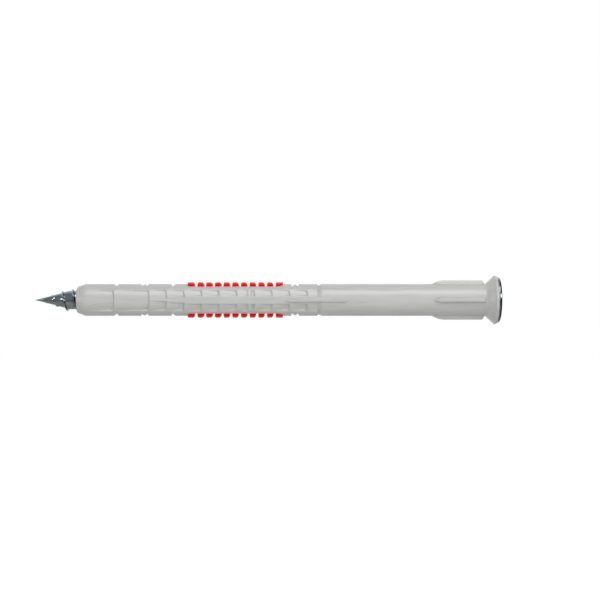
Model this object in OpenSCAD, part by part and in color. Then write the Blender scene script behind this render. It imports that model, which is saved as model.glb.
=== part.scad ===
// Frame fixing: a long nylon sleeve with a countersunk collar, two red gripping strips
// moulded into it, and the steel screw that is driven through it.
// The axis lies along X, the screw's head points to +X, and X = 0 is the collar's outer face.
// Stations on the front half of the sleeve are counted from its nose, so the embedment marks
// stay at their depth when the sleeve is made longer or shorter.

/* [Sleeve] */
// Length of the sleeve, nose to outer face of the collar
sleeve_l = 120; // [100:1:240]
// Diameter of the sleeve's shank and anchoring zone
body_d = 9.14; // [9.0:0.02:9.6]
// Gap between the screw's thread and the sleeve's bore
bore_gap = 0.05; // [0.03:0.01:0.08]

/* [Nose] */
// Length of the tapered nose
nose_l = 2.4; // [1.5:0.1:3.2]
// Diameter of the nose where its rounded corner begins
nose_face_d = 7.3; // [7.2:0.1:7.6]
// Radius of the nose's rounded corner
nose_round = 0.5; // [0.3:0.05:0.7]
// Length of the plain ring between the taper and the first panel
nose_ring_l = 1.3; // [0.8:0.1:2]

/* [Embedment marks] */
// Depth of the ring line that shows the shorter embedment
mark_short = 50; // [49:0.1:50.5]
// Depth of the ring groove that shows the full embedment
mark_full = 70; // [69.5:0.1:71]
// Width of the ring line
mark_line_w = 1.1; // [0.6:0.1:1.4]
// Depth of the ring groove's steep side
mark_groove_d = 0.47; // [0.2:0.01:0.5]
// Width of the ring groove, steep side to the end of its slope
mark_groove_w = 1.2; // [0.8:0.1:1.4]

/* [Locking cells] */
// Station of the first step behind the nose
step_first = 11.1; // [10.5:0.1:11.5]
// Length of each of the two full-width panels
panel_pitch = 10; // [9.5:0.1:10.2]
// Length of each locking cell
cell_pitch = 5; // [4.6:0.1:5.2]
// Number of cells in each row, the last one runs into the ring groove
cell_count = 10; // [4:1:10]
// Depth of a cell or panel at its step
cell_depth = 0.55; // [0.3:0.05:0.65]
// Angle from the middle of the side up to the upper border of cells and panels
upper_edge = 39; // [34:1:42]
// Angle from the middle down to their lower border
lower_edge = 43.7; // [38:0.1:45]
// Angle from the middle to the cells' inner border, where the land is widest
land_edge = 14; // [8:1:17]
// Lean of each step, in the side view from above
step_lean = 27; // [10:1:35]
// Lean of the upper border, from the direction in which the mould opens
upper_lean = 64; // [50:1:80]
// The same for the lower border of a panel
panel_lean = 70; // [55:1:90]
// The same for the lower border of a cell, which is a flat that faces the front
facet_lean = 96; // [80:1:100]
// The same for the land's borders
land_lean = 24; // [5:1:30]

/* [Notches] */
// Height of the flat floors of notches and strip seats above the axis
flat_z = 3.88; // [3.85:0.01:4.0]
// Stations of the two plain notches, at their slanted side's foot
plain_notch_1 = 11.1; // [10.9:0.1:11.4]
plain_notch_2 = 27.57; // [27.3:0.01:27.9]
// Width of a plain notch's floor
plain_notch_w = 0.62; // [0.4:0.01:0.8]
// Lean of a plain notch's slanted side, from the upright
plain_notch_lean = 41; // [35:1:45]
// Stations of the two notches that hold a pip, at the pip's peak
pip_notch_1 = 19.33; // [19:0.01:19.6]
pip_notch_2 = 62.34; // [62:0.01:62.6]
// Half the width of a pip notch
pip_notch_half = 1.02; // [0.8:0.01:1.2]
// Half the width of a pip at its foot
pip_half = 0.82; // [0.6:0.01:0.9]
// Height of a pip's peak above the axis
pip_z = 4.48; // [4.2:0.01:4.55]

/* [Grip strips] */
// Station where the strip's flat seat begins
strip_start = 32.25; // [31.9:0.05:33]
// Distance from the seat's beginning to the foot of the first full tooth
first_tooth_in = 2.23; // [2:0.01:2.6]
// Distance from the foot of the last tooth to the seat's end
last_tooth_in = 0.75; // [0.6:0.01:0.9]
// Length of the seat's slope on the nose side
strip_slope_in = 1.0; // [0.8:0.05:1.2]
// Length of the seat's slope on the collar side
strip_slope_out = 1.52; // [1.0:0.02:1.7]
// Number of teeth on each strip
tooth_count = 11; // [8:1:11]
// Spacing of the teeth
tooth_pitch = 2.48; // [2.3:0.01:2.5]
// Diameter over the teeth, just over the drill hole's
teeth_d = 10.16; // [10:0.02:10.4]
// Width of a tooth at its foot
tooth_foot = 1.8; // [1.4:0.05:1.9]
// Width of a tooth at its crest
tooth_crest = 1.35; // [1.0:0.05:1.4]
// Width of the web that joins the teeth through the sleeve's wall
web_w = 3.2; // [2.4:0.1:3.6]

/* [Shank fins] */
// Station where the two front fins begin to rise
front_fin_start = 58.6; // [57:0.1:60]
// Length of the front fins
front_fin_l = 19; // [16:0.1:22]
// Length over which a front fin rises
front_fin_rise = 5.1; // [3:0.1:6]
// Height of the front fins above the shank
front_fin_h = 0.55; // [0.3:0.05:0.7]
// Width of a front fin at the shank's surface
front_fin_foot = 1.5; // [1.3:0.05:1.9]
// Distance from the collar's outer face to the start of the four rear fins
rear_fin_start = 18.5; // [15:0.1:24]
// Length of the rear fins
rear_fin_l = 15.1; // [10:0.1:15.3]
// Length over which a rear fin rises
rear_fin_rise = 3.3; // [2:0.1:5]
// Height of the rear fins above the shank
rear_fin_h = 1.06; // [0.6:0.02:1.2]
// Width of a rear fin at the shank's surface
rear_fin_foot = 1.7; // [1.4:0.05:2]
// Width of a fin's top
fin_top = 0.9; // [0.6:0.05:1.1]

/* [Collar] */
// Largest diameter of the collar
collar_d = 13.96; // [13.6:0.02:14.4]
// Distance from the outer face to the collar's largest diameter
collar_edge = 0.69; // [0.5:0.01:0.8]
// Width of the collar's rim on its outer face
collar_rim_w = 0.2; // [0.15:0.01:0.3]
// How far the collar's round edge eases in at the outer face, in radius
collar_ease = 0.28; // [0.2:0.01:0.35]

/* [Screw] */
// Diameter over the thread
thread_d = 7; // [6.8:0.02:7.02]
// Diameter of the thread's root
root_d = 5.4; // [5:0.05:5.6]
// Diameter of the plain shank
shank_d = 6; // [5.7:0.05:6.4]
// Advance of the thread in one turn
thread_pitch = 3; // [2.8:0.1:3.6]
// Width of the thread's ridge at its foot
ridge_foot = 0.9; // [0.7:0.05:1.3]
// Width of the thread's ridge at its crest
ridge_crest = 0.18; // [0.1:0.02:0.3]
// Length of thread, from the tip
thread_l = 78; // [60:1:82]
// How far the tip stands out of the nose
tip_out = 12.15; // [11:0.05:14]
// Half angle of the tip's cone
tip_half_angle = 15.6; // [13:0.1:18]

/* [Screw head] */
// Diameter of the head where it bears on the collar's rim
head_d = 13.2; // [13:0.02:13.3]
// Diameter of the head's flat top
head_top_d = 12.1; // [11:0.05:12.4]
// Height of the head above the collar's outer face
head_h = 0.86; // [0.7:0.01:1]
// Gap between the head and its seat in the collar
seat_gap = 0.05; // [0.03:0.01:0.08]
// Diameter over the lobes of the drive recess
drive_d = 6.75; // [6:0.05:7]
// Diameter between the lobes of the drive recess
drive_waist_d = 4.85; // [4.4:0.05:5.2]
// Depth of the drive recess
drive_depth = 2.9; // [2:0.1:3]

/* [Hidden] */
$fn = 96;

body_r = body_d / 2;
thread_r = thread_d / 2;
root_r = root_d / 2;
shank_r = shank_d / 2;
bore_r = thread_r + bore_gap;
collar_r = collar_d / 2;

// Room that a cutter reaches past the surface it cuts
over = 1;
// Height at which a ramp starts above the surface, so the two never merge
proud = 0.02;

function x_at(station) = station - sleeve_l;
function shifted(points, dx) = [for (p = points) [p[0] + dx, p[1]]];
// Points on an ellipse's arc; size holds its two half axes.
function arc(x, y, size, a0, a1, steps) =
    [for (i = [0:steps]) let (a = a0 + (a1 - a0) * i / steps) [x + size[0] * cos(a), y + size[1] * sin(a)]];

// Radius of the thread's root and crest at a distance from the tip: a faint ridge near the
// point, a strong one on the rest of the cone, and full size just behind the nose. Over its
// last turn the ridge sinks into the shank.
point_r = 0.06;
tip_blend = 2;
tip_blend_r = 0.5;
faint_to = 5.2;
faint_h = 0.1;
strong_from = tip_out - 2.95;
nose_crest_r = thread_r - 0.3;
crest_full = tip_out + 3.9;
shank_bevel = 0.15;
run_out_r = shank_r - shank_bevel - 0.05;
cone_end = tip_blend + (root_r - tip_blend_r) / tan(tip_half_angle);
root_table = [[0, point_r], [tip_blend, tip_blend_r], [cone_end, root_r], [thread_l, root_r]];
function root_at(t) = lookup(t, root_table);
crest_table = [
    [0, point_r + 0.02],
    [tip_blend, tip_blend_r + 0.04],
    [faint_to, root_at(faint_to) + faint_h],
    [strong_from, nose_crest_r - 0.04],
    [tip_out, nose_crest_r],
    [crest_full, thread_r],
    [thread_l - 2 * thread_pitch, thread_r],
    [thread_l - thread_pitch, run_out_r],
    [thread_l, root_r]
];
function crest_at(t) = lookup(t, crest_table);

// Bore of the sleeve: it opens from the nose to full size as the thread does.
nose_bore_r = nose_crest_r + bore_gap;
bore_full = crest_full - tip_out;

// The collar's inner cone is parallel to the head's and leaves the rim on the outer face.
rim_r = collar_r - collar_ease;
mouth_r = rim_r - collar_rim_w;
head_cone_r = mouth_r - seat_gap * sqrt(2);

// Outline of the sleeve's wall, as [radius, station].
nose_points = concat(
    [[nose_bore_r, 0]],
    arc((nose_face_d - nose_round) / 2, nose_round, [nose_round, nose_round], -90, -20, 5)
);
collar_edge_s = sleeve_l - collar_edge;
collar_foot_s = collar_edge_s - (collar_r - body_r);
collar_fillet = 0.1;
collar_points = concat(
    [
        [body_r, collar_foot_s - 3.5 * collar_fillet],
        [body_r + collar_fillet, collar_foot_s]
    ],
    arc(rim_r, collar_edge_s, [collar_ease, collar_edge], 0, 90, 4),
    [
        [mouth_r, sleeve_l],
        [bore_r, sleeve_l - (mouth_r - bore_r)]
    ]
);
wall_outline = concat(
    nose_points,
    [
        [body_r, nose_l],
        [body_r, mark_full - mark_groove_w],
        [body_r - mark_groove_d, mark_full - mark_groove_w],
        [body_r, mark_full]
    ],
    collar_points,
    [[bore_r, bore_full]]
);

// Turns a [radius, station] outline about the X axis.
module turned(outline) {
    translate([x_at(0), 0, 0]) rotate([0, 90, 0]) rotate_extrude() polygon(outline);
}

// Extrudes a [station, height] outline across the sleeve.
module side_profile(outline, width) {
    rotate([90, 0, 0]) linear_extrude(height = width, center = true)
        polygon(shifted(outline, x_at(0)));
}

// Extrudes a [station, depth] outline seen from above through the sleeve's height.
module plan_profile(outline, height) {
    linear_extrude(height = height, center = true) polygon(shifted(outline, x_at(0)));
}

// Extrudes a [depth, height] outline along the sleeve, from one station to another.
module end_profile(outline, s0, s1) {
    translate([x_at(s0), 0, 0]) rotate([90, 0, 90]) linear_extrude(height = s1 - s0) polygon(outline);
}

module top_and_bottom() {
    children();
    mirror([0, 0, 1]) children();
}

module half_turn_too() {
    children();
    rotate([180, 0, 0]) children();
}

// Half plane on the open side of a cell's border, in the end view. The border is a straight line
// through the skin at an angle from the side's middle.
module open_side(angle, lean) {
    reach = 4 * body_r;
    translate([-body_r * cos(angle), body_r * sin(angle)]) rotate(180 - lean) translate([-reach, 0])
        square([2 * reach, 2 * reach]);
}

// One sunken ramp on the front. It starts flush at station s0 and deepens to the leaning step
// at s1. Its upper and lower borders are given as [angle, lean]; they let a mould in two halves
// open.
module ramp_cell(s0, s1, above, below) {
    front = body_r + over;
    intersection() {
        turned([
            [body_r + proud, s0],
            [body_r - cell_depth, s1],
            [front, s1],
            [front, s0]
        ]);
        translate([x_at(s0 - over), 0, 0]) rotate([90, 0, 90])
            linear_extrude(height = s1 - s0 + 2 * over) intersection() {
                open_side(above[0], above[1]);
                mirror([0, 1]) open_side(below[0], below[1]);
            }
        plan_profile([
            [s0 - over, -front],
            [s1 + over * tan(step_lean), -front],
            [s1 - body_r * tan(step_lean), 0],
            [s0 - over, 0]
        ], 4 * front);
    }
}

// Two panels across the whole side, then the rows of cells above and below the land, which
// widens over the first three. The ring line stays standing and the ring groove ends the rows.
panels_end = step_first + panel_pitch;
land_grows_over = 3;
module locking_cells() {
    top_border = [upper_edge, upper_lean];
    difference() {
        union() {
            ramp_cell(nose_l + nose_ring_l, step_first, top_border, [lower_edge, panel_lean]);
            ramp_cell(step_first, panels_end, top_border, [lower_edge, panel_lean]);
            for (i = [0:cell_count - 1]) {
                s0 = panels_end + i * cell_pitch;
                land_border = [-land_edge * min(1, (i + 1) / land_grows_over), land_lean];
                ramp_cell(s0, s0 + cell_pitch, top_border, land_border);
                ramp_cell(s0, s0 + cell_pitch, land_border, [lower_edge, facet_lean]);
            }
        }
        turned(ring_band(mark_short - mark_line_w, mark_short));
        turned(ring_band(mark_full - mark_groove_w * 0.7, mark_full + cell_pitch));
    }
}
function ring_band(s0, s1) = [[bore_r, s0], [body_r + 2 * over, s0], [body_r + 2 * over, s1], [bore_r, s1]];

// Notch with one slanted and one steep side; the slant faces the nose or the collar.
module plain_notch(foot, slant_to_nose) {
    way = slant_to_nose ? 1 : -1;
    top = body_r + over;
    side_profile([
        [foot - way * tan(plain_notch_lean) * (top - flat_z), top],
        [foot, flat_z],
        [foot + way * plain_notch_w, flat_z],
        [foot + way * plain_notch_w, top]
    ], 2 * body_r);
}

// Notch with a low triangular pip in its middle.
module pip_notch(peak) {
    top = body_r + over;
    side_profile([
        [peak - pip_notch_half, top],
        [peak - pip_notch_half, flat_z],
        [peak - pip_half, flat_z],
        [peak, pip_z],
        [peak + pip_half, flat_z],
        [peak + pip_notch_half, flat_z],
        [peak + pip_notch_half, top]
    ], 2 * body_r);
}

// Flat seat of a grip strip with its two slopes. Its length follows from the teeth.
strip_l = first_tooth_in + (tooth_count - 2) * tooth_pitch + last_tooth_in;
strip_end = strip_start + strip_l;
module strip_seat() {
    rise = body_r - flat_z;
    top = body_r + over;
    side_profile([
        [strip_start - strip_slope_in * (top - flat_z) / rise, top],
        [strip_start, flat_z],
        [strip_end, flat_z],
        [strip_end + strip_slope_out * (top - flat_z) / rise, top]
    ], 2 * body_r);
}

// Slot through the wall under the seat, which the strip's web fills.
web_inset = 0.6;
module web_block(width) {
    translate([x_at(strip_start + web_inset), -width / 2, bore_r / 2])
        cube([strip_l - 2 * web_inset, width, flat_z - bore_r / 2]);
}

// A fin along the top of the shank: drafted sides, a rising start and pointed or blunt ends.
// It rises fast to the knee and slower from there.
fin_sunk = 0.6;
fin_knee = [0.6, 0.82];
fin_point = [0.35, 0.32];
blunt_lean = 0.65;
module fin(s0, length, rise, height, width, blunt) {
    s1 = s0 + length;
    low = body_r - fin_sunk;
    high = body_r + height;
    foot = width + fin_sunk * (width - fin_top) / height;
    end = blunt ? blunt_lean * height : width;
    narrow = fin_point[1] * width;
    intersection() {
        end_profile([[-foot / 2, low], [-fin_top / 2, high], [fin_top / 2, high], [foot / 2, low]], s0, s1);
        side_profile([
            [s0, low],
            [s0, body_r],
            [s0 + rise * fin_knee[0], body_r + height * fin_knee[1]],
            [s0 + rise, high],
            [s1 - end, high],
            [s1, body_r],
            [s1, low]
        ], 2 * width);
        plan_profile(concat(
            [[s0, 0], [s0 + rise * fin_point[0], -narrow], [s0 + rise, -foot / 2]],
            blunt
                ? arc(s1 - foot / 2, 0, [foot / 2, foot / 2], -90, 90, 12)
                : [[s1 - end, -foot / 2], [s1, 0], [s1 - end, foot / 2]],
            [[s0 + rise, foot / 2], [s0 + rise * fin_point[0], narrow]]
        ), 4 * body_r);
    }
}

module front_fins() {
    for (a = [90, 270]) rotate([a, 0, 0])
        fin(front_fin_start, front_fin_l, front_fin_rise, front_fin_h, front_fin_foot, false);
}

module rear_fins() {
    for (a = [0:90:270]) rotate([a, 0, 0])
        fin(sleeve_l - rear_fin_start, rear_fin_l, rear_fin_rise, rear_fin_h, rear_fin_foot, true);
}

module sleeve() {
    color([0.73, 0.73, 0.72]) difference() {
        union() {
            difference() {
                turned(wall_outline);
                half_turn_too() locking_cells();
            }
            front_fins();
            rear_fins();
        }
        top_and_bottom() {
            plain_notch(plain_notch_1, true);
            plain_notch(plain_notch_2, false);
            pip_notch(pip_notch_1);
            pip_notch(pip_notch_2);
            strip_seat();
            web_block(web_w);
        }
    }
}

// Side view of one tooth: steep towards the nose, bulging towards the collar. Its crest is cut
// to the teeth's circle later.
tooth_rake = 0.06;
tooth_high = teeth_d / 2 + over;
tooth_h = teeth_d / 2 - flat_z;
function tooth_back(s, crest, foot) = concat(
    [[s + crest, tooth_high]],
    arc(s + crest, flat_z, [foot - crest, 0.92 * tooth_h], 90, 0, 3)
);
module tooth(s) {
    side_profile(concat([[s, flat_z], [s + tooth_rake, tooth_high]], tooth_back(s, tooth_crest, tooth_foot)),
        2 * body_r);
}

// The first tooth reaches over the seat's slope on the nose side, the last one over the other.
end_reach = 0.6;
first_crest = 1.05;
first_foot = 1.35;
last_reach = 1.3;
last_lip = 0.65;
module first_tooth() {
    side_profile(concat(
        [
            [strip_start, flat_z],
            [strip_start - end_reach, flat_z + 0.55],
            [strip_start - end_reach + tooth_rake, tooth_high]
        ],
        tooth_back(strip_start, first_crest, first_foot)
    ), 2 * body_r);
}
module last_tooth() {
    foot = strip_end - last_tooth_in;
    side_profile([
        [foot, flat_z],
        [foot + tooth_rake, tooth_high],
        [strip_end + last_reach, tooth_high],
        [strip_end + last_reach, flat_z + last_lip],
        [strip_end, flat_z]
    ], 2 * body_r);
}

// Strip with its teeth on the seat and its web in the wall's slot.
seat_half_w = sqrt(body_r * body_r - flat_z * flat_z);
module grip_strip() {
    first = strip_start + first_tooth_in - tooth_pitch;
    s0 = strip_start - 2 * over;
    s1 = strip_end + 2 * over;
    intersection() {
        union() {
            first_tooth();
            for (i = [1:tooth_count - 2]) tooth(first + i * tooth_pitch);
            last_tooth();
            web_block(web_w);
        }
        turned([[bore_r, s0], [teeth_d / 2, s0], [teeth_d / 2, s1], [bore_r, s1]]);
        translate([x_at(s0), -seat_half_w, 0]) cube([s1 - s0, 2 * seat_half_w, teeth_d]);
    }
}

module upper_grip_insert() {
    color([0.9, 0.05, 0.05]) grip_strip();
}

module lower_grip_insert() {
    color([0.9, 0.05, 0.05]) mirror([0, 0, 1]) grip_strip();
}

// Threaded part of the screw, tip to run-out, as one closed helical skin with a right-hand
// ridge. The ridge starts a part of a turn before the front.
turn_steps = 20;
thread_turns = (thread_l - thread_pitch) / thread_pitch;
thread_steps = floor(thread_turns * turn_steps);
thread_start = 0.2;
// Along one pitch: foot of the ridge, two edges of its crest, and foot again.
ridge_flank = (ridge_foot - ridge_crest) / 2;
ridge = [[0, 0], [ridge_flank, 1], [ridge_flank + ridge_crest, 1], [ridge_foot, 0]];
function skin_point(i, k) =
    let (
        a = 360 * (i / turn_steps - thread_start),
        t = thread_pitch * i / turn_steps + ridge[k][0],
        r = root_at(t) + ridge[k][1] * (crest_at(t) - root_at(t))
    )
    [x_at(-tip_out) + t, r * cos(a), r * sin(a)];

module threaded_part() {
    rings = len(ridge);
    columns = thread_steps + turn_steps + 1;
    points = concat(
        [for (i = [0:columns - 1]) for (k = [0:rings - 1]) skin_point(i, k)],
        [
            [x_at(-tip_out), 0, 0],
            [x_at(-tip_out) + thread_pitch * (columns - 1) / turn_steps, 0, 0]
        ]
    );
    tip = columns * rings;
    back = tip + 1;
    // Point k of column i; one past the last ridge point is the foot one turn on.
    function at(i, k) = k < rings ? i * rings + k : (i + turn_steps) * rings + k - rings;
    skin = [
        for (i = [0:thread_steps - 1]) for (k = [0:rings - 1])
            [at(i, k), at(i, k + 1), at(i + 1, k + 1), at(i + 1, k)]
    ];
    halves = [for (q = skin) for (h = [[q[0], q[1], q[2]], [q[0], q[2], q[3]]]) h];
    tip_fan = [for (i = [0:turn_steps - 1]) [tip, at(i, 0), at(i + 1, 0)]];
    tip_side = [for (k = [0:rings - 1]) [tip, at(0, k + 1), at(0, k)]];
    back_fan = [for (i = [0:turn_steps - 1])
        [back, at(thread_steps + i + 1, 0), at(thread_steps + i, 0)]];
    back_side = [for (k = [0:rings - 1]) [back, at(thread_steps, k), at(thread_steps, k + 1)]];
    polyhedron(points = points, faces = concat(halves, tip_fan, tip_side, back_fan, back_side));
}

// Plain shank and countersunk head, as [radius, station]. The head's edge bulges a little.
shank_start = thread_l - tip_out - thread_pitch;
head_foot = sleeve_l + seat_gap + 0.04;
head_points = concat(
    [
        [0, shank_start],
        [shank_r - shank_bevel, shank_start],
        [shank_r, shank_start + 2 * shank_bevel],
        [shank_r, sleeve_l - (head_cone_r - shank_r)],
        [head_cone_r, sleeve_l],
        [head_cone_r, sleeve_l + seat_gap]
    ],
    arc(head_top_d / 2, head_foot, [(head_d - head_top_d) / 2, sleeve_l + head_h - head_foot], 0, 90, 5),
    [[0, sleeve_l + head_h]]
);

// Six-lobed drive recess with a shallow cone at its bottom.
drive_cone_l = 0.7;
drive_cone_tip_r = 0.4;
module drive_recess() {
    mean = (drive_d + drive_waist_d) / 4;
    swing = (drive_d - drive_waist_d) / 4;
    translate([head_h - drive_depth, 0, 0]) rotate([0, 90, 0]) {
        linear_extrude(height = drive_depth + over)
            polygon([for (a = [0:5:355]) (mean + swing * cos(6 * a)) * [cos(a), sin(a)]]);
        translate([0, 0, -drive_cone_l])
            cylinder(h = drive_cone_l + 0.05, r1 = drive_cone_tip_r, r2 = drive_waist_d / 2 - 0.15);
    }
}

module screw() {
    color([0.45, 0.5, 0.52]) difference() {
        union() {
            threaded_part();
            turned(head_points);
        }
        drive_recess();
    }
}

sleeve();
upper_grip_insert();
lower_grip_insert();
screw();
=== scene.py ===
import math

import bmesh
import bpy
import numpy as np
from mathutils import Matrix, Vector


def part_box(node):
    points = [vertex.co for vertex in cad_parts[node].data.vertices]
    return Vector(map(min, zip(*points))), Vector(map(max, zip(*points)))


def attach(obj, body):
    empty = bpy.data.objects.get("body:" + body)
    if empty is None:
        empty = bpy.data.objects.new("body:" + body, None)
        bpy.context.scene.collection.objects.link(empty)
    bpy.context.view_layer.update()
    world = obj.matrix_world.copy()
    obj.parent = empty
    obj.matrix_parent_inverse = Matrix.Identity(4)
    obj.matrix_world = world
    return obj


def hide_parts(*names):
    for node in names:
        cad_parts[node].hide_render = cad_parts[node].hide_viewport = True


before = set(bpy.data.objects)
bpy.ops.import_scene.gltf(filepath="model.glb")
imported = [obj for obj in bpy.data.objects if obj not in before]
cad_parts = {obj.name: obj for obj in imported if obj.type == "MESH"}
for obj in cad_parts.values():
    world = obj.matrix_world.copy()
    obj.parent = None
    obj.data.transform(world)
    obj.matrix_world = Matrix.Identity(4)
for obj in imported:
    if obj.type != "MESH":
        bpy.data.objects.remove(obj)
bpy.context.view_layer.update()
mm = 0.001  # sizes below are in millimetres, and are scaled once, when a mesh is made
print("frame loaded:", ", ".join(sorted(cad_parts)))

sleeveLow, sleeveHigh = (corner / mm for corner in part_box("sleeve"))
screwLow, screwHigh = (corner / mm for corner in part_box("screw"))
noseX = sleeveLow.x  # stations along the sleeve are counted from its nose
sleeveLength = sleeveHigh.x - sleeveLow.x


def linear(hexColour):
    parts = [int(hexColour[i : i + 2], 16) / 255 for i in (1, 3, 5)]
    return tuple(c / 12.92 if c <= 0.04045 else ((c + 0.055) / 1.055) ** 2.4 for c in parts) + (1.0,)


# a node with its values set, by socket or by property, and its inputs joined to other outputs
def addNode(tree, kind, settings=None, links=None):
    node = tree.nodes.new(kind)
    for key, value in (settings or {}).items():
        if isinstance(key, int) or key in node.inputs:
            node.inputs[key].default_value = value
        else:
            setattr(node, key, value)
    for socket, source in (links or {}).items():
        tree.links.new(source, node.inputs[socket])
    return node


def newMaterial(name):
    material = bpy.data.materials.new(name)
    material.use_nodes = True
    material.node_tree.nodes.clear()
    return material, material.node_tree


def makePiece(name, points, faces, material, body=None, node=None):
    mesh = bpy.data.meshes.new(name)
    mesh.from_pydata((np.asarray(points) * mm).tolist(), [], faces)
    work = bmesh.new()
    work.from_mesh(mesh)
    bmesh.ops.recalc_face_normals(work, faces=work.faces)
    work.to_mesh(mesh)
    work.free()
    mesh.polygons.foreach_set("use_smooth", [True] * len(mesh.polygons))
    mesh.materials.append(material)
    piece = bpy.data.objects.new(name, mesh)
    bpy.context.scene.collection.objects.link(piece)
    if body:
        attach(piece, body)
    if node:
        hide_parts(node)
    mesh.calc_loop_triangles()
    print("made", name, "with", len(mesh.loop_triangles), "triangles")
    return piece


# quads between rows of points that each go round once; start is the first point's number
def ringFaces(rows, columns, start=0):
    row = np.arange(rows - 1)[:, None] * columns + start
    column = np.arange(columns)[None, :]
    after = (column + 1) % columns
    corners = [row + column, row + after, row + columns + after, row + columns + column]
    return np.stack(corners, axis=-1).reshape(-1, 4).tolist()


# points on a circle's arc in an outline, as (station, radius)
def arcPoints(station, radius, size, fromAngle, toAngle, steps):
    turns = np.radians(np.linspace(fromAngle, toAngle, steps + 1))
    return [(station + size * math.cos(t), radius + size * math.sin(t)) for t in turns]


# Sleeve: one nylon moulding. Its skin is a radius at each station and angle; the angle is
# measured from the middle of the front, and every feature comes again half a turn on.
sleeve = {
    "bodyRadius": 4.57,
    "boreRadius": 3.55,
    "noseBoreRadius": 3.25,
    "noseLip": 0.08,
    "boreFullAt": 3.9,
    "noseArcRadius": 0.5,
    "noseArcCentre": 3.4,
    "noseArcTurn": (180, 112),
    "noseCone": (0.33, 3.87),
    "noseLength": 2.4,
    "firstPanelAt": 3.7,
    "firstStepAt": 11.1,
    "panelPitch": 10.0,
    "cellPitch": 5.0,
    "cellCount": 10,
    "cellDepth": 0.55,
    "upperBorder": (39.0, 64.0),
    "panelBorder": (43.7, 70.0),
    "facetBorder": (43.7, 96.0),
    "landEdge": 14.0,
    "landGrowsOver": 3,
    "landLean": 24.0,
    "stepLean": 27.0,
    "stepReach": 0.3,
    "cellsWithin": 1.2,
    "leastLean": 0.01,
    "ringLine": (48.9, 50.0),
    "ringGroove": (68.8, 70.0),
    "ringGrooveDepth": 0.47,
    "cellsEndAt": 69.16,
    "seatHeight": 3.88,
    "cutReach": 1.0,
    "plainNotches": ((11.1, 1), (27.57, -1)),
    "plainNotchWidth": 0.62,
    "plainNotchLean": 41.0,
    "pipNotches": (19.33, 62.34),
    "pipNotchHalf": 1.02,
    "pipHalf": 0.82,
    "pipHeight": 4.48,
    "stripSeat": (32.25, 57.55),
    "stripSlopes": (1.0, 1.52),
    "webWidth": 3.2,
    "webRelief": 0.12,
    "reliefInset": (0.7, 0.1),
    "finTop": 0.9,
    "finRoot": 0.6,
    "finWithin": 0.6,
    "finKnee": (0.6, 0.82),
    "finPoint": (0.35, 0.32),
    "bluntLean": 0.65,
    "frontFin": {
        "start": 58.6, "length": 19.0, "rise": 5.1, "height": 0.55, "foot": 1.5, "blunt": False,
    },
    "rearFin": {
        "start": 101.5, "length": 15.1, "rise": 3.3, "height": 1.06, "foot": 1.7, "blunt": True,
    },
    "collarBlend": (0.35, 0.1),
    "collarEdge": 0.69,
    "collarEase": 0.28,
    "collarRim": 0.2,
    "mouthEase": 0.1,
    "mouthBlend": 0.3,
    "edgeRound": 0.036,
    "gridStep": 0.04,
    "gridTurn": 0.5,
    "rows": 520,
    "columns": 176,
    "evenRows": 0.2,
    "evenColumns": 0.35,
}

bodyRadius = sleeve["bodyRadius"]
collarRadius = sleeveHigh.z
collarEdgeAt = sleeveLength - sleeve["collarEdge"]
collarFootAt = collarEdgeAt - (collarRadius - bodyRadius)
never = 99.0  # a radius that cuts nothing
upright = 0.01  # an upright wall's length, because an outline can't have two radii at one station
tiny = 0.001  # keeps a division away from zero


# a cell's straight border: where it starts, as an angle from the side's middle, and its lean from
# the direction in which the mould opens
def borderRadius(turn, border):
    angle, lean = (math.radians(value) for value in border)
    return bodyRadius * math.sin(lean - angle) / np.maximum(np.sin(lean - turn), sleeve["leastLean"])


# floor of one sunken ramp: it deepens to a leaning step, between an upper and a lower border
def rampFloor(station, turn, start, stop, above, below):
    depth = sleeve["cellDepth"] * (station - start) / (stop - start)
    floor = np.maximum(borderRadius(turn, above), borderRadius(-turn, below))
    floor = np.maximum(floor, bodyRadius - depth)
    steep = math.tan(math.radians(sleeve["stepLean"]))
    floor = np.maximum(floor, (bodyRadius + (station - stop) / steep) / np.cos(turn))
    inside = (station >= start) & (station <= stop + sleeve["stepReach"])
    return np.where(inside & (np.abs(turn) < sleeve["cellsWithin"]), floor, never)


# height of the cuts across the top and bottom: notches, pips and the strip's seat
def topCuts(station):
    low = sleeve["seatHeight"]
    high = bodyRadius + sleeve["cutReach"]
    height = np.full_like(station, never)
    for foot, way in sleeve["plainNotches"]:
        slant = foot - way * math.tan(math.radians(sleeve["plainNotchLean"])) * (high - low)
        far = foot + way * sleeve["plainNotchWidth"]
        line = np.interp(way * station, [way * slant, way * foot, way * far], [high, low, low])
        inside = (way * station > way * slant) & (way * station < way * far)
        height = np.where(inside, np.minimum(height, line), height)
    half = sleeve["pipNotchHalf"]
    for peak in sleeve["pipNotches"]:
        away = np.abs(station - peak)
        line = np.interp(away, [0, sleeve["pipHalf"]], [sleeve["pipHeight"], low])
        height = np.where(away < half, np.minimum(height, line), height)
    start, stop = sleeve["stripSeat"]
    rise = (high - low) / (bodyRadius - low)
    before = start - sleeve["stripSlopes"][0] * rise
    behind = stop + sleeve["stripSlopes"][1] * rise
    line = np.interp(station, [before, start, stop, behind], [high, low, low, high])
    inside = (station > before) & (station < behind)
    return np.where(inside, np.minimum(height, line), height)


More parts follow.
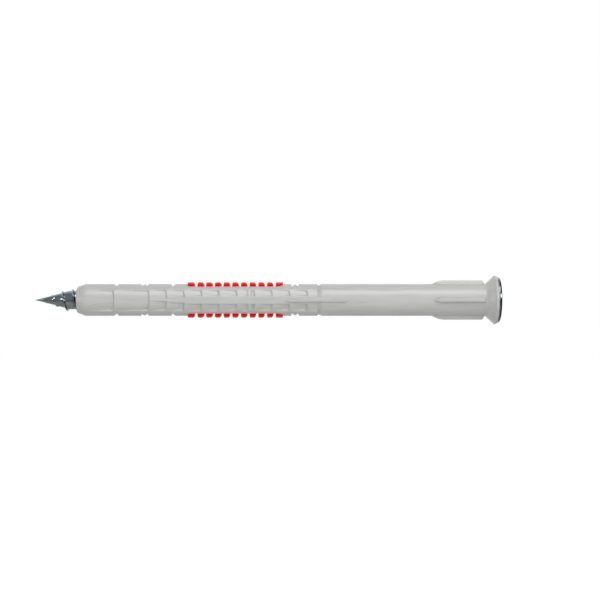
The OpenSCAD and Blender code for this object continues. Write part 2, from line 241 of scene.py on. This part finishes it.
# a fin's skin, by the angle from its own middle: flat top, drafted sides, pointed or blunt ends
def finRadius(station, away, fin):
    start = fin["start"]
    stop = start + fin["length"]
    rise = fin["rise"]
    high = bodyRadius + fin["height"]
    foot = fin["foot"] / 2
    top = sleeve["finTop"] / 2
    slant = (foot - top) / fin["height"]
    wide = foot + slant * sleeve["finRoot"]
    end = sleeve["bluntLean"] * fin["height"] if fin["blunt"] else fin["foot"]
    knee = sleeve["finKnee"]
    point = sleeve["finPoint"]
    profile = [
        (start - upright, 0),
        (start, bodyRadius),
        (start + rise * knee[0], bodyRadius + fin["height"] * knee[1]),
        (start + rise, high),
        (stop - end, high),
        (stop, bodyRadius),
        (stop + upright, 0),
    ]
    side = np.interp(station, *zip(*profile))
    widths = [(start, 0), (start + rise * point[0], fin["foot"] * point[1]), (start + rise, wide)]
    ahead = np.interp(station, *zip(*widths))
    if fin["blunt"]:
        behind = np.sqrt(np.clip(wide**2 - np.clip(station - stop + wide, 0, wide) ** 2, 0, None))
    else:
        behind = np.interp(station, [stop - end, stop], [wide, 0])
    width = np.minimum(ahead, behind)
    sine = np.maximum(np.sin(np.abs(away)), tiny)
    cosine = np.maximum(np.cos(away), tiny)
    flank = (top + high * slant) / (sine + slant * cosine)
    skin = np.minimum(np.minimum(side / cosine, flank), width / sine)
    return np.where(np.abs(away) < sleeve["finWithin"], skin, 0)


def sleeveRadius(station, angle):
    turn = (angle + math.pi / 2) % math.pi - math.pi / 2  # 0 at the front's middle, upwards from there
    fold = np.abs(turn)
    groove = sleeve["ringGroove"]
    blend = sleeve["collarBlend"]
    outline = [
        sleeve["noseCone"],
        (sleeve["noseLength"], bodyRadius),
        (groove[0], bodyRadius),
        (groove[0] + upright, bodyRadius - sleeve["ringGrooveDepth"]),
        (groove[1], bodyRadius),
        (collarFootAt - blend[0], bodyRadius),
        (collarFootAt, bodyRadius + blend[1]),
        (collarEdgeAt, collarRadius),
    ]
    radius = np.interp(station, *zip(*outline)) + 0 * fold
    cut = np.full_like(radius, never)
    above = sleeve["upperBorder"]
    first = sleeve["firstStepAt"]
    for start, stop in ((sleeve["firstPanelAt"], first), (first, first + sleeve["panelPitch"])):
        cut = np.minimum(cut, rampFloor(station, turn, start, stop, above, sleeve["panelBorder"]))
    for i in range(sleeve["cellCount"]):
        start = first + sleeve["panelPitch"] + i * sleeve["cellPitch"]
        stop = start + sleeve["cellPitch"]
        land = (-sleeve["landEdge"] * min(1, (i + 1) / sleeve["landGrowsOver"]), sleeve["landLean"])
        cut = np.minimum(cut, rampFloor(station, turn, start, stop, above, land))
        cut = np.minimum(cut, rampFloor(station, turn, start, stop, land, sleeve["facetBorder"]))
    line = sleeve["ringLine"]
    kept = ((station > line[0]) & (station < line[1])) | (station > sleeve["cellsEndAt"])
    radius = np.where(kept, radius, np.minimum(radius, cut))
    fromTop = math.pi / 2 - fold
    fin = finRadius(station, fold, sleeve["frontFin"])
    for away in (fold, fromTop):
        fin = np.maximum(fin, finRadius(station, away, sleeve["rearFin"]))
    radius = np.maximum(radius, fin)
    radius = np.minimum(radius, topCuts(station) / np.maximum(np.cos(fromTop), tiny))
    # under the strip's web the seat lies a little deeper, so that the two faces don't coincide
    start, stop = sleeve["stripSeat"]
    along, beside = sleeve["reliefInset"]
    underWeb = radius * np.sin(fromTop) < sleeve["webWidth"] / 2 - beside
    underWeb = underWeb & (station > start + along) & (station < stop - along)
    return np.where(underWeb, radius - sleeve["webRelief"], radius)


# rounds every moulded edge a little
def soften(field, sigma, axis, wrap):
    reach = int(3 * sigma) + 1
    weights = np.exp(-0.5 * (np.arange(-reach, reach + 1) / sigma) ** 2)
    weights /= weights.sum()
    padding = [(0, 0), (0, 0)]
    padding[axis] = (reach, reach)
    padded = np.pad(field, padding, mode="wrap" if wrap else "edge")
    size = field.shape[axis]
    return sum(w * np.take(padded, range(i, i + size), axis=axis) for i, w in enumerate(weights))


# picks the lines of the fine grid that follow its bends closest
def pickLines(field, axis, count, evenShare):
    bend = np.abs(np.diff(field, 2, axis=axis)).max(axis=1 - axis) ** 0.5
    bend = np.concatenate([bend[:1], bend, bend[-1:]])
    weight = bend / bend.sum() * (1 - evenShare) + evenShare / len(bend)
    reached = np.concatenate([[0], np.cumsum(weight)[:-1]])
    lines = np.searchsorted(reached, np.linspace(0, reached[-1], count))
    return np.unique(np.clip(lines, 0, len(bend) - 1))


def makeSleeve(material):
    step = sleeve["gridStep"]
    turn = sleeve["gridTurn"]
    rounding = sleeve["edgeRound"]
    station = np.arange(sleeve["noseCone"][0], collarEdgeAt, step)
    angle = np.radians(np.arange(0, 360, turn))
    field = sleeveRadius(station[:, None], angle[None, :])
    field = soften(field, rounding / step, 0, False)
    field = soften(field, rounding / (bodyRadius * math.radians(turn)), 1, True)
    columns = pickLines(field, 1, sleeve["columns"], sleeve["evenColumns"])
    rows = pickLines(field, 0, sleeve["rows"], sleeve["evenRows"])
    angle = angle[columns]
    skin = [(station[row], field[row, columns]) for row in rows]
    nose = [(0, sleeve["noseBoreRadius"]), (0, sleeve["noseBoreRadius"] + sleeve["noseLip"])]
    size = sleeve["noseArcRadius"]
    arc = arcPoints(size, sleeve["noseArcCentre"], size, *sleeve["noseArcTurn"], 6)
    rim = collarRadius - sleeve["collarEase"]
    mouth = rim - sleeve["collarRim"]
    turns = np.radians(np.linspace(0, 90, 9))
    edge = [
        (collarEdgeAt + sleeve["collarEdge"] * math.sin(t), rim + sleeve["collarEase"] * math.cos(t))
        for t in turns
    ]
    bore = sleeve["boreRadius"]
    boreFrom = sleeveLength - (mouth - bore)
    inside = [
        (sleeveLength, mouth),
        (sleeveLength - sleeve["mouthEase"], mouth - sleeve["mouthEase"]),
        (boreFrom, bore),
        (boreFrom - sleeve["mouthBlend"], bore),
        (sleeveLength / 2, bore),
        (sleeve["boreFullAt"], bore),
    ]
    outline = nose + arc + skin + edge + inside
    points = []
    for place, radius in outline:
        radius = np.broadcast_to(radius, angle.shape)
        ring = [np.full(angle.shape, noseX + place), -radius * np.cos(angle), radius * np.sin(angle)]
        points.append(np.stack(ring, axis=-1))
    count = len(angle)
    faces = ringFaces(len(outline), count)
    last = (len(outline) - 1) * count
    faces += [(last + j, last + (j + 1) % count, (j + 1) % count, j) for j in range(count)]
    points = np.concatenate(points)
    return makePiece("nylonSleeve", points, faces, material, "sleeve", "sleeve")


# Grip strips: the red second shot, a row of teeth on a web that goes through the sleeve's wall
gripStrip = {
    "crestRadius": 5.08,
    "toothCount": 11,
    "toothPitch": 2.48,
    "firstToothIn": 2.23,
    "lastToothIn": 0.75,
    "toothRake": 0.06,
    "toothFoot": 1.8,
    "toothCrest": 1.35,
    "toothBulge": 0.92,
    "endReach": 0.6,
    "endLip": 0.55,
    "firstCrest": 1.05,
    "firstFoot": 1.35,
    "lastReach": 1.3,
    "lastLip": 0.65,
    "halfWidth": 2.415,
    "edgeRound": 0.09,
    "sunk": 0.1,
    "webInset": 0.6,
    "webEase": 0.06,
    "webProud": 0.01,
    "webFoot": 1.8,
    "levels": 7,
    "sections": 24,
}
toothRise = gripStrip["crestRadius"] - sleeve["seatHeight"]


# the back of a tooth bulges: stations at rising heights over the seat
def toothBack(start, crest, foot):
    turns = np.radians(np.linspace(0, 90, 7))
    heights = gripStrip["toothBulge"] * toothRise * np.sin(turns)
    return heights, start + crest + (foot - crest) * np.cos(turns)


# a tooth's two sides in the side view, each as heights over the seat and stations at them
def toothSides(index):
    start, stop = sleeve["stripSeat"]
    rake = gripStrip["toothRake"]
    if index == 0:
        reach = start - gripStrip["endReach"]
        ahead = [0, gripStrip["endLip"], toothRise], [start, reach, reach + rake]
        return ahead, toothBack(start, gripStrip["firstCrest"], gripStrip["firstFoot"])
    if index == gripStrip["toothCount"] - 1:
        foot = stop - gripStrip["lastToothIn"]
        reach = stop + gripStrip["lastReach"]
        behind = [0, gripStrip["lastLip"], toothRise], [stop, reach, reach]
        return ([0, toothRise], [foot, foot + rake]), behind
    foot = start + gripStrip["firstToothIn"] + (index - 1) * gripStrip["toothPitch"]
    behind = toothBack(foot, gripStrip["toothCrest"], gripStrip["toothFoot"])
    return ([0, toothRise], [foot, foot + rake]), behind


# one tooth: sections across the strip, each a rounded outline that follows the crest's circle
def toothPoints(index, side):
    seat = sleeve["seatHeight"]
    half = gripStrip["halfWidth"]
    rounding = gripStrip["edgeRound"]
    sections = gripStrip["sections"]
    levels = gripStrip["levels"]
    bends = np.radians([30, 60, 90])
    ahead, behind = toothSides(index)
    points = []
    for i in range(sections + 1):
        turn = math.pi * i / sections
        across = -half * math.cos(turn)
        inset = rounding * (1 - math.sin(min(turn, math.pi - turn, math.pi / 6) * 3))
        high = math.sqrt(gripStrip["crestRadius"] ** 2 - across**2) - inset
        level = np.append(-gripStrip["sunk"], np.linspace(0, high - rounding - seat, levels))
        level = np.append(level, high - rounding * (1 - np.sin(bends)) - seat)
        pulled = inset + np.append(np.zeros(levels + 1), rounding * (1 - np.cos(bends)))
        front = np.interp(level, *ahead) + pulled
        back = np.interp(level, *behind) - pulled
        places = np.append(front, back[::-1])
        heights = seat + np.append(level, level[::-1])
        points += [(noseX + place, across, side * height) for place, height in zip(places, heights)]
    return points, len(places)


def makeGripStrip(name, node, side, material):
    points = []
    faces = []
    for index in range(gripStrip["toothCount"]):
        start = len(points)
        tooth, count = toothPoints(index, side)
        points += tooth
        rows = gripStrip["sections"] + 1
        faces += ringFaces(rows, count, start)
        faces.append(tuple(range(start, start + count)))
        faces.append(tuple(range(start + (rows - 1) * count, start + rows * count)))
    start, stop = sleeve["stripSeat"]
    first = noseX + start + gripStrip["webInset"]
    last = noseX + stop - gripStrip["webInset"]
    half = sleeve["webWidth"] / 2
    top = sleeve["seatHeight"] + gripStrip["webProud"]
    ease = gripStrip["webEase"]
    corners = len(points)
    outline = [(half, gripStrip["webFoot"]), (half, top - ease), (half - ease, top)]
    outline = [(-across, height) for across, height in outline] + outline[::-1]
    for place in (first, last):
        points += [(place, across, side * height) for across, height in outline]
    faces += ringFaces(2, len(outline), corners)
    faces.append(tuple(range(corners, corners + len(outline))))
    faces.append(tuple(range(corners + len(outline), corners + 2 * len(outline))))
    return makePiece(name, points, faces, material, "sleeve", node)


# Screw: one piece of zinc-plated steel, a rolled thread, a plain shank and a countersunk head
screw = {
    "pitch": 3.0,
    "threadLength": 78.0,
    "tipOut": 12.15,
    "rootRadius": 2.7,
    "shankRadius": 3.0,
    "threadRadius": 3.5,
    "noseCrestRadius": 3.2,
    "pointRadius": 0.06,
    "pointRidge": 0.02,
    "tipBlend": 2.0,
    "tipBlendRadius": 0.5,
    "tipBlendRidge": 0.04,
    "tipHalfAngle": 15.6,
    "faintTo": 5.2,
    "faintHeight": 0.12,
    "strongFrom": 9.2,
    "strongBelow": 0.04,
    "fullAfter": 3.9,
    "runOutRadius": 2.8,
    # one pitch of the rolled ridge: millimetres along the screw, and share of the ridge's height
    "ridge": [
        (0, 0), (0.06, 0.05), (0.2, 0.5), (0.345, 0.94), (0.39, 1), (0.51, 1), (0.555, 0.94),
        (0.7, 0.5), (0.84, 0.05), (0.9, 0), (1.9, 0),
    ],
    "seatGap": 0.05,
    "headRadius": 6.6,
    "headTopRadius": 6.05,
    "headFlat": 0.9,
    "driveRadius": 3.375,
    "driveWaistRadius": 2.425,
    "driveDepth": 2.9,
    # short outlines, as steps along and outwards from the place where each is used
    "shankFrom": 0.3,
    "shankEdge": [(0.4, -0.04), (0.7, 0)],
    "neck": [(-0.4, 0), (-0.12, 0.03), (0.2, 0.2)],
    "coneEdge": [(-0.12, -0.12), (0, -0.02)],
    "seatEdge": [(0, 0.02)],
    "headFoot": [(0.015, -0.05), (0.06, 0)],
    "recessEdge": [(0, 0.32), (-0.03, 0.14), (-0.14, 0.03), (-0.3, 0)],
    "recessFloor": [(0.1, 0), (0, -0.08)],
    "recessCone": [(0, 2.275), (-0.7, 0.4)],
    "recessPoint": 0.75,
    "threadTurn": 0.2,
    "columns": 120,
}


def moved(outline, station, radius):
    return [(station + along, radius + outwards) for along, outwards in outline]


def rootAt(t):
    blend = screw["tipBlend"]
    slope = math.tan(math.radians(screw["tipHalfAngle"]))
    coneEnd = blend + (screw["rootRadius"] - screw["tipBlendRadius"]) / slope
    sizes = [screw["pointRadius"], screw["tipBlendRadius"], screw["rootRadius"]]
    return float(np.interp(t, [0, blend, coneEnd], sizes))


# the ridge is faint near the point, strong on the rest of the cone, full behind the nose, and
# sinks into the shank over its last turn
def crestAt(t):
    out = screw["tipOut"]
    length = screw["threadLength"]
    faint = screw["faintTo"]
    nose = screw["noseCrestRadius"]
    full = screw["threadRadius"]
    pitch = screw["pitch"]
    outline = [
        (0, screw["pointRadius"] + screw["pointRidge"]),
        (screw["tipBlend"], screw["tipBlendRadius"] + screw["tipBlendRidge"]),
        (faint, rootAt(faint) + screw["faintHeight"]),
        (screw["strongFrom"], nose - screw["strongBelow"]),
        (out, nose),
        (out + screw["fullAfter"], full),
        (length - 2 * pitch, full),
        (length - pitch, screw["runOutRadius"]),
        (length, screw["rootRadius"]),
    ]
    return float(np.interp(t, *zip(*outline)))


def makeScrew(material):
    columns = screw["columns"]
    pitch = screw["pitch"]
    ridge = screw["ridge"]
    tipX = screwLow.x
    headX = screwHigh.x
    steps = int((screw["threadLength"] - pitch) / pitch * columns)
    points = []
    for i in range(steps + columns + 1):
        turn = 2 * math.pi * (i / columns - screw["threadTurn"])
        for along, height in ridge:
            t = pitch * i / columns + along
            root = rootAt(t)
            radius = root + height * (crestAt(t) - root)
            points.append((tipX + t, radius * math.cos(turn), radius * math.sin(turn)))
    across = len(ridge)

    def at(i, k):
        return i * across + k if k < across else (i + columns) * across + k - across

    faces = [
        (at(i, k), at(i, k + 1), at(i + 1, k + 1), at(i + 1, k))
        for i in range(steps) for k in range(across)
    ]
    tip = len(points)
    points.append((tipX, 0, 0))
    faces += [(tip, at(i, 0), at(i + 1, 0)) for i in range(columns)]
    faces += [(tip, at(0, k + 1), at(0, k)) for k in range(across)]
    # the cone under the head stands a gap off the collar's mouth, and its edge is at station 0
    seat = screw["seatGap"]
    cone = collarRadius - sleeve["collarEase"] - sleeve["collarRim"] - seat * math.sqrt(2)
    shank = screw["shankRadius"]
    shankStart = tipX + screw["threadLength"] + screw["shankFrom"]
    edge = screw["headRadius"]
    top = screw["headTopRadius"]
    profile = [(shankStart, screw["rootRadius"])]
    profile += moved(screw["shankEdge"], shankStart, shank)
    profile += moved(screw["neck"], -(cone - shank), shank)
    profile += moved(screw["coneEdge"], 0, cone)
    profile += moved(screw["seatEdge"], seat, cone)
    profile += moved(screw["headFoot"], seat, edge)
    bevelFrom = profile[-1][0]
    profile += [
        (bevelFrom + (headX - bevelFrom) * math.sin(t), top + (edge - top) * math.cos(t))
        for t in np.radians([15, 30, 45, 60, 75, 90])
    ]
    mean = (screw["driveRadius"] + screw["driveWaistRadius"]) / 2
    swing = (screw["driveRadius"] - screw["driveWaistRadius"]) / 2
    angle = 2 * math.pi * np.arange(columns) / columns
    lobes = mean + swing * np.cos(6 * angle)
    floorX = headX - screw["driveDepth"]
    profile.append((headX, top - screw["headFlat"]))
    profile += moved(screw["recessEdge"], headX, lobes)
    profile += moved(screw["recessFloor"], floorX, lobes)
    profile += moved(screw["recessCone"], floorX, 0)
    ring = len(points)
    for place, radius in profile:
        radius = np.broadcast_to(radius, angle.shape)
        rows = [np.full(angle.shape, place), radius * np.cos(angle), radius * np.sin(angle)]
        points += np.stack(rows, axis=-1).tolist()
    faces += ringFaces(len(profile), columns, ring)
    # the last turn of the thread is closed onto the first ring of the shank
    turned = round(screw["threadTurn"] * columns)
    onRing = [ring + (i - turned) % columns for i in range(steps, steps + columns + 1)]
    side = [at(steps, k) for k in range(across + 1)]
    faces.append(tuple(side[::-1] + [at(steps + 1, 0), onRing[1], onRing[0]]))
    for i in range(1, columns):
        faces.append((at(steps + i, 0), at(steps + i + 1, 0), onRing[i + 1], onRing[i]))
    bottom = len(points)
    points.append((floorX - screw["recessPoint"], 0, 0))
    rim = ring + (len(profile) - 1) * columns
    faces += [(rim + j, rim + (j + 1) % columns, bottom) for j in range(columns)]
    return makePiece("steelScrew", points, faces, material, "screw", "screw")


# camera: the view of the photograph, level with the axis and a little off the middle
view = {
    "distance": 369.0,
    "alongAxis": -56.25,
    "lens": 77.2,
}


def makeCamera():
    camera = bpy.data.cameras.new("camera")
    camera.lens = view["lens"]
    camera.clip_end = 20
    cameraObject = bpy.data.objects.new("camera", camera)
    cameraObject.location = Vector((view["alongAxis"], -view["distance"], 0)) * mm
    cameraObject.rotation_euler = (math.pi / 2, 0, 0)
    bpy.context.scene.collection.objects.link(cameraObject)
    bpy.context.scene.camera = cameraObject


# studio: a white floor, a soft even sky that is white behind the object, and five soft lamps: two
# that light the front, one mirrored in the head's edge, one in the tip, and one for the back
studio = {
    "skyLevel": 0.33,
    "skyWhiteFrom": 0.5,
    "darkEnd": (0.25, 0.55),
    "darkEndLevel": 0.05,
    "floorDrop": 160.0,
    "floorSize": 6000.0,
    "floorColour": "#c4c4c2",
    "floorWhite": 0.86,
    "backdrop": (150.0, 400.0),
    "darkFloor": (30.0, 100.0),
    "darkFloorColour": "#202022",
    # these two leave no bright spot of their own in the steel
    "unmirrored": ("fill", "backLamp"),
    "lamps": {
        "key": {"watts": 0.86, "up": 57.0, "aside": 11.0, "away": 420.0, "size": (365.0, 190.0)},
        "fill": {"watts": 0.49, "up": -24.0, "aside": -5.0, "away": 320.0, "size": (280.0, 150.0)},
        "headLamp": {"watts": 0.52, "up": 15.5, "aside": 56.0, "away": 453.0, "size": (170.0, 100.0)},
        "tipLamp": {"watts": 0.22, "up": 4.0, "aside": -66.0, "away": 480.0, "size": (40.0, 40.0)},
        "backLamp": {"watts": 0.5, "up": 6.0, "aside": 180.0, "away": 420.0, "size": (420.0, 120.0)},
    },
}


def makeLamp(name, values):
    lamp = bpy.data.lights.new(name, "AREA")
    lamp.shape = "RECTANGLE"
    lamp.size = values["size"][0] * mm
    lamp.size_y = values["size"][1] * mm
    lamp.energy = values["watts"]
    lampObject = bpy.data.objects.new(name, lamp)
    up = math.radians(values["up"])
    aside = math.radians(values["aside"])
    away = values["away"] * mm
    flat = math.cos(up) * away
    alongAxis = view["alongAxis"] * mm + flat * math.sin(aside)
    lampObject.location = (alongAxis, -flat * math.cos(aside), math.sin(up) * away)
    lampObject.rotation_euler = (math.pi / 2 - up, 0, aside)
    lampObject.visible_glossy = name not in studio["unmirrored"]
    bpy.context.scene.collection.objects.link(lampObject)


def calculate(tree, operation, first, second):
    return addNode(tree, "ShaderNodeMath", {"operation": operation}, {0: first, 1: second}).outputs[0]


# a value that goes from one level to another between two readings of another value
def mapRange(tree, value, readings, levels):
    settings = dict(zip(("From Min", "From Max", "To Min", "To Max"), (*readings, *levels)))
    return addNode(tree, "ShaderNodeMapRange", settings, {"Value": value}).outputs[0]


# a mix node has sockets named A and B for each kind of value, so its colours go by number
def mixColours(tree, factor, first, second):
    node = addNode(tree, "ShaderNodeMix", {"data_type": "RGBA"}, {0: factor})
    node.inputs[6].default_value = linear(first)
    node.inputs[7].default_value = linear(second)
    return node.outputs[2]


def finishMaterial(tree, shader):
    addNode(tree, "ShaderNodeOutputMaterial", None, {"Surface": shader.outputs[0]})


# the place on a surface or in the sky, and what kind of ray asks for it: camera and glass see
# the white backdrop straight, metal and gloss see it by reflection
def askedPlace(tree, coordinates):
    place = addNode(tree, "ShaderNodeTexCoord")
    axes = addNode(tree, "ShaderNodeSeparateXYZ", None, {0: place.outputs[coordinates]})
    ray = addNode(tree, "ShaderNodeLightPath").outputs
    seen = calculate(tree, "MAXIMUM", ray["Is Camera Ray"], ray["Is Transmission Ray"])
    return axes.outputs["X"], axes.outputs["Y"], seen, ray["Is Glossy Ray"]


# the floor behind the object is part of the white backdrop, so reflections see it white too, and
# they see its right end dark, like the sky's
def makeFloor():
    half = studio["floorSize"] / 2
    drop = -studio["floorDrop"]
    corners = [(-half, -half, drop), (half, -half, drop), (half, half, drop), (-half, half, drop)]
    paint, tree = newMaterial("whiteFloor")
    x, y, seen, mirrored = askedPlace(tree, "Object")
    behind = mapRange(tree, y, [edge * mm for edge in studio["backdrop"]], (0.0, 1.0))
    rightEnd = mapRange(tree, x, [edge * mm for edge in studio["darkFloor"]], (0.0, 1.0))
    white = calculate(tree, "MAXIMUM", seen, calculate(tree, "MULTIPLY", behind, mirrored))
    settings = {"operation": "MULTIPLY", 1: studio["floorWhite"]}
    level = addNode(tree, "ShaderNodeMath", settings, {0: white})
    dark = calculate(tree, "MULTIPLY", rightEnd, mirrored)
    colour = mixColours(tree, dark, studio["floorColour"], studio["darkFloorColour"])
    matt = addNode(tree, "ShaderNodeBsdfDiffuse", None, {"Color": colour})
    glow = addNode(tree, "ShaderNodeEmission", {"Color": (1, 1, 1, 1)}, {"Strength": level.outputs[0]})
    both = addNode(tree, "ShaderNodeAddShader", None, {0: matt.outputs[0], 1: glow.outputs[0]})
    finishMaterial(tree, both)
    makePiece("floor", corners, [(0, 1, 2, 3)], paint)


# reflections see the white backdrop behind the object, the plain room in front and its dark right end
def makeSky():
    world = bpy.data.worlds.new("world")
    bpy.context.scene.world = world
    world.use_nodes = True
    tree = world.node_tree
    tree.nodes.clear()
    plain = studio["skyLevel"]
    x, y, seen, mirrored = askedPlace(tree, "Generated")
    behind = mapRange(tree, y, (0.0, studio["skyWhiteFrom"]), (plain, 1.0))
    darkEnd = mapRange(tree, x, studio["darkEnd"], (1.0, studio["darkEndLevel"]))
    shown = calculate(tree, "MULTIPLY", behind, darkEnd)
    level = addNode(tree, "ShaderNodeMix", {"A": plain}, {"Factor": mirrored, "B": shown})
    strength = calculate(tree, "MAXIMUM", level.outputs[0], seen)
    light = addNode(tree, "ShaderNodeBackground", {"Color": (1, 1, 1, 1)}, {"Strength": strength})
    addNode(tree, "ShaderNodeOutputWorld", None, {"Surface": light.outputs[0]})


# a noise in millimetres of the piece, with its own size along the piece and across it
def makeNoise(tree, along, across, detail):
    place = addNode(tree, "ShaderNodeTexCoord")
    scale = (1 / mm / along, 1 / mm / across, 1 / mm / across)
    space = addNode(
        tree, "ShaderNodeVectorMath", {"operation": "MULTIPLY", 1: scale}, {0: place.outputs["Object"]}
    )
    settings = {"Scale": 1.0, "Detail": detail, "Roughness": 0.55}
    return addNode(tree, "ShaderNodeTexNoise", settings, {"Vector": space.outputs[0]}).outputs[0]


# spreads a noise, which keeps near its middle, over the whole way from low to high
def spread(tree, noise, low, high):
    return mapRange(tree, noise, (0.32, 0.68), (low, high))


# fine relief in a surface, on top of another one where that is given
def makeRelief(tree, height, depth, under=None):
    links = {"Height": height}
    if under:
        links["Normal"] = under
    settings = {"Distance": depth * mm, "Strength": 1.0}
    return addNode(tree, "ShaderNodeBump", settings, links).outputs[0]


# Polyamide 6, injection moulded: the mould's spark-eroded grain makes it satin, and the melt
# leaves faint cloudy streaks in the colour and the gloss the way it flowed, along the piece
greyNylonLook = {
    "name": "greyMouldedNylon",
    "colours": ("#b9b9b6", "#c1c1c0"),
    "gloss": 0.5,
    "roughness": (0.27, 0.35),
    "flow": (9.0, 0.9),
    "grain": 0.3,
    "grainDepth": 0.0035,
}
redNylonLook = {
    "name": "redMouldedNylon",
    "colours": ("#e00000", "#f00200"),
    "gloss": 0.12,
    "roughness": (0.32, 0.44),
    "flow": (1.6, 0.7),
    "grain": 0.3,
    "grainDepth": 0.004,
}


def mouldedNylon(look):
    material, tree = newMaterial(look["name"])
    flow = makeNoise(tree, *look["flow"], 4.0)
    streaks = spread(tree, flow, 0.0, 1.0)
    # the real grain is 0.1 mm, too fine to show, so it is drawn three times as coarse
    grain = makeNoise(tree, look["grain"], look["grain"], 2.0)
    links = {
        "Base Color": mixColours(tree, streaks, *look["colours"]),
        "Roughness": spread(tree, flow, *look["roughness"]),
        "Normal": makeRelief(tree, grain, look["grainDepth"]),
    }
    settings = {"IOR": 1.53, "Specular IOR Level": look["gloss"]}
    finishMaterial(tree, addNode(tree, "ShaderNodeBsdfPrincipled", settings, links))
    return material


# Carbon steel, cold headed and thread rolled, electroplated with zinc and blue passivated: a cool
# grey metal with faint yellowish clouds, and fine streaks round the axis from the rolling dies
steelLook = {
    "name": "bluePassivatedZinc",
    "colours": ("#8e9aa3", "#a4a9a8"),
    "clouds": 3.5,
    "streaks": (0.22, 5.0),
    "roughness": (0.13, 0.26),
    "streakDepth": 0.004,
    "grain": 0.25,
    "grainDepth": 0.003,
}


def zincPlatedSteel(look):
    material, tree = newMaterial(look["name"])
    clouds = spread(tree, makeNoise(tree, look["clouds"], look["clouds"], 4.0), 0.0, 1.0)
    streaks = makeNoise(tree, *look["streaks"], 3.0)
    rolled = makeRelief(tree, streaks, look["streakDepth"])
    # zinc crystals are some 0.02 mm wide, drawn coarser so that they show as a fine grain
    crystals = makeNoise(tree, look["grain"], look["grain"], 2.0)
    links = {
        "Base Color": mixColours(tree, clouds, *look["colours"]),
        "Roughness": spread(tree, streaks, *look["roughness"]),
        "Normal": makeRelief(tree, crystals, look["grainDepth"], rolled),
    }
    finishMaterial(tree, addNode(tree, "ShaderNodeBsdfPrincipled", {"Metallic": 1.0}, links))
    return material


makeCamera()
makeFloor()
makeSky()
for name, values in studio["lamps"].items():
    makeLamp(name, values)
print("studio ready")
greyNylon = mouldedNylon(greyNylonLook)
redNylon = mouldedNylon(redNylonLook)
steel = zincPlatedSteel(steelLook)
makeSleeve(greyNylon)
makeGripStrip("upperGripStrip", "upper_grip_insert", 1, redNylon)
makeGripStrip("lowerGripStrip", "lower_grip_insert", -1, redNylon)
makeScrew(steel)

bpy.context.scene.view_settings.view_transform = "Standard"
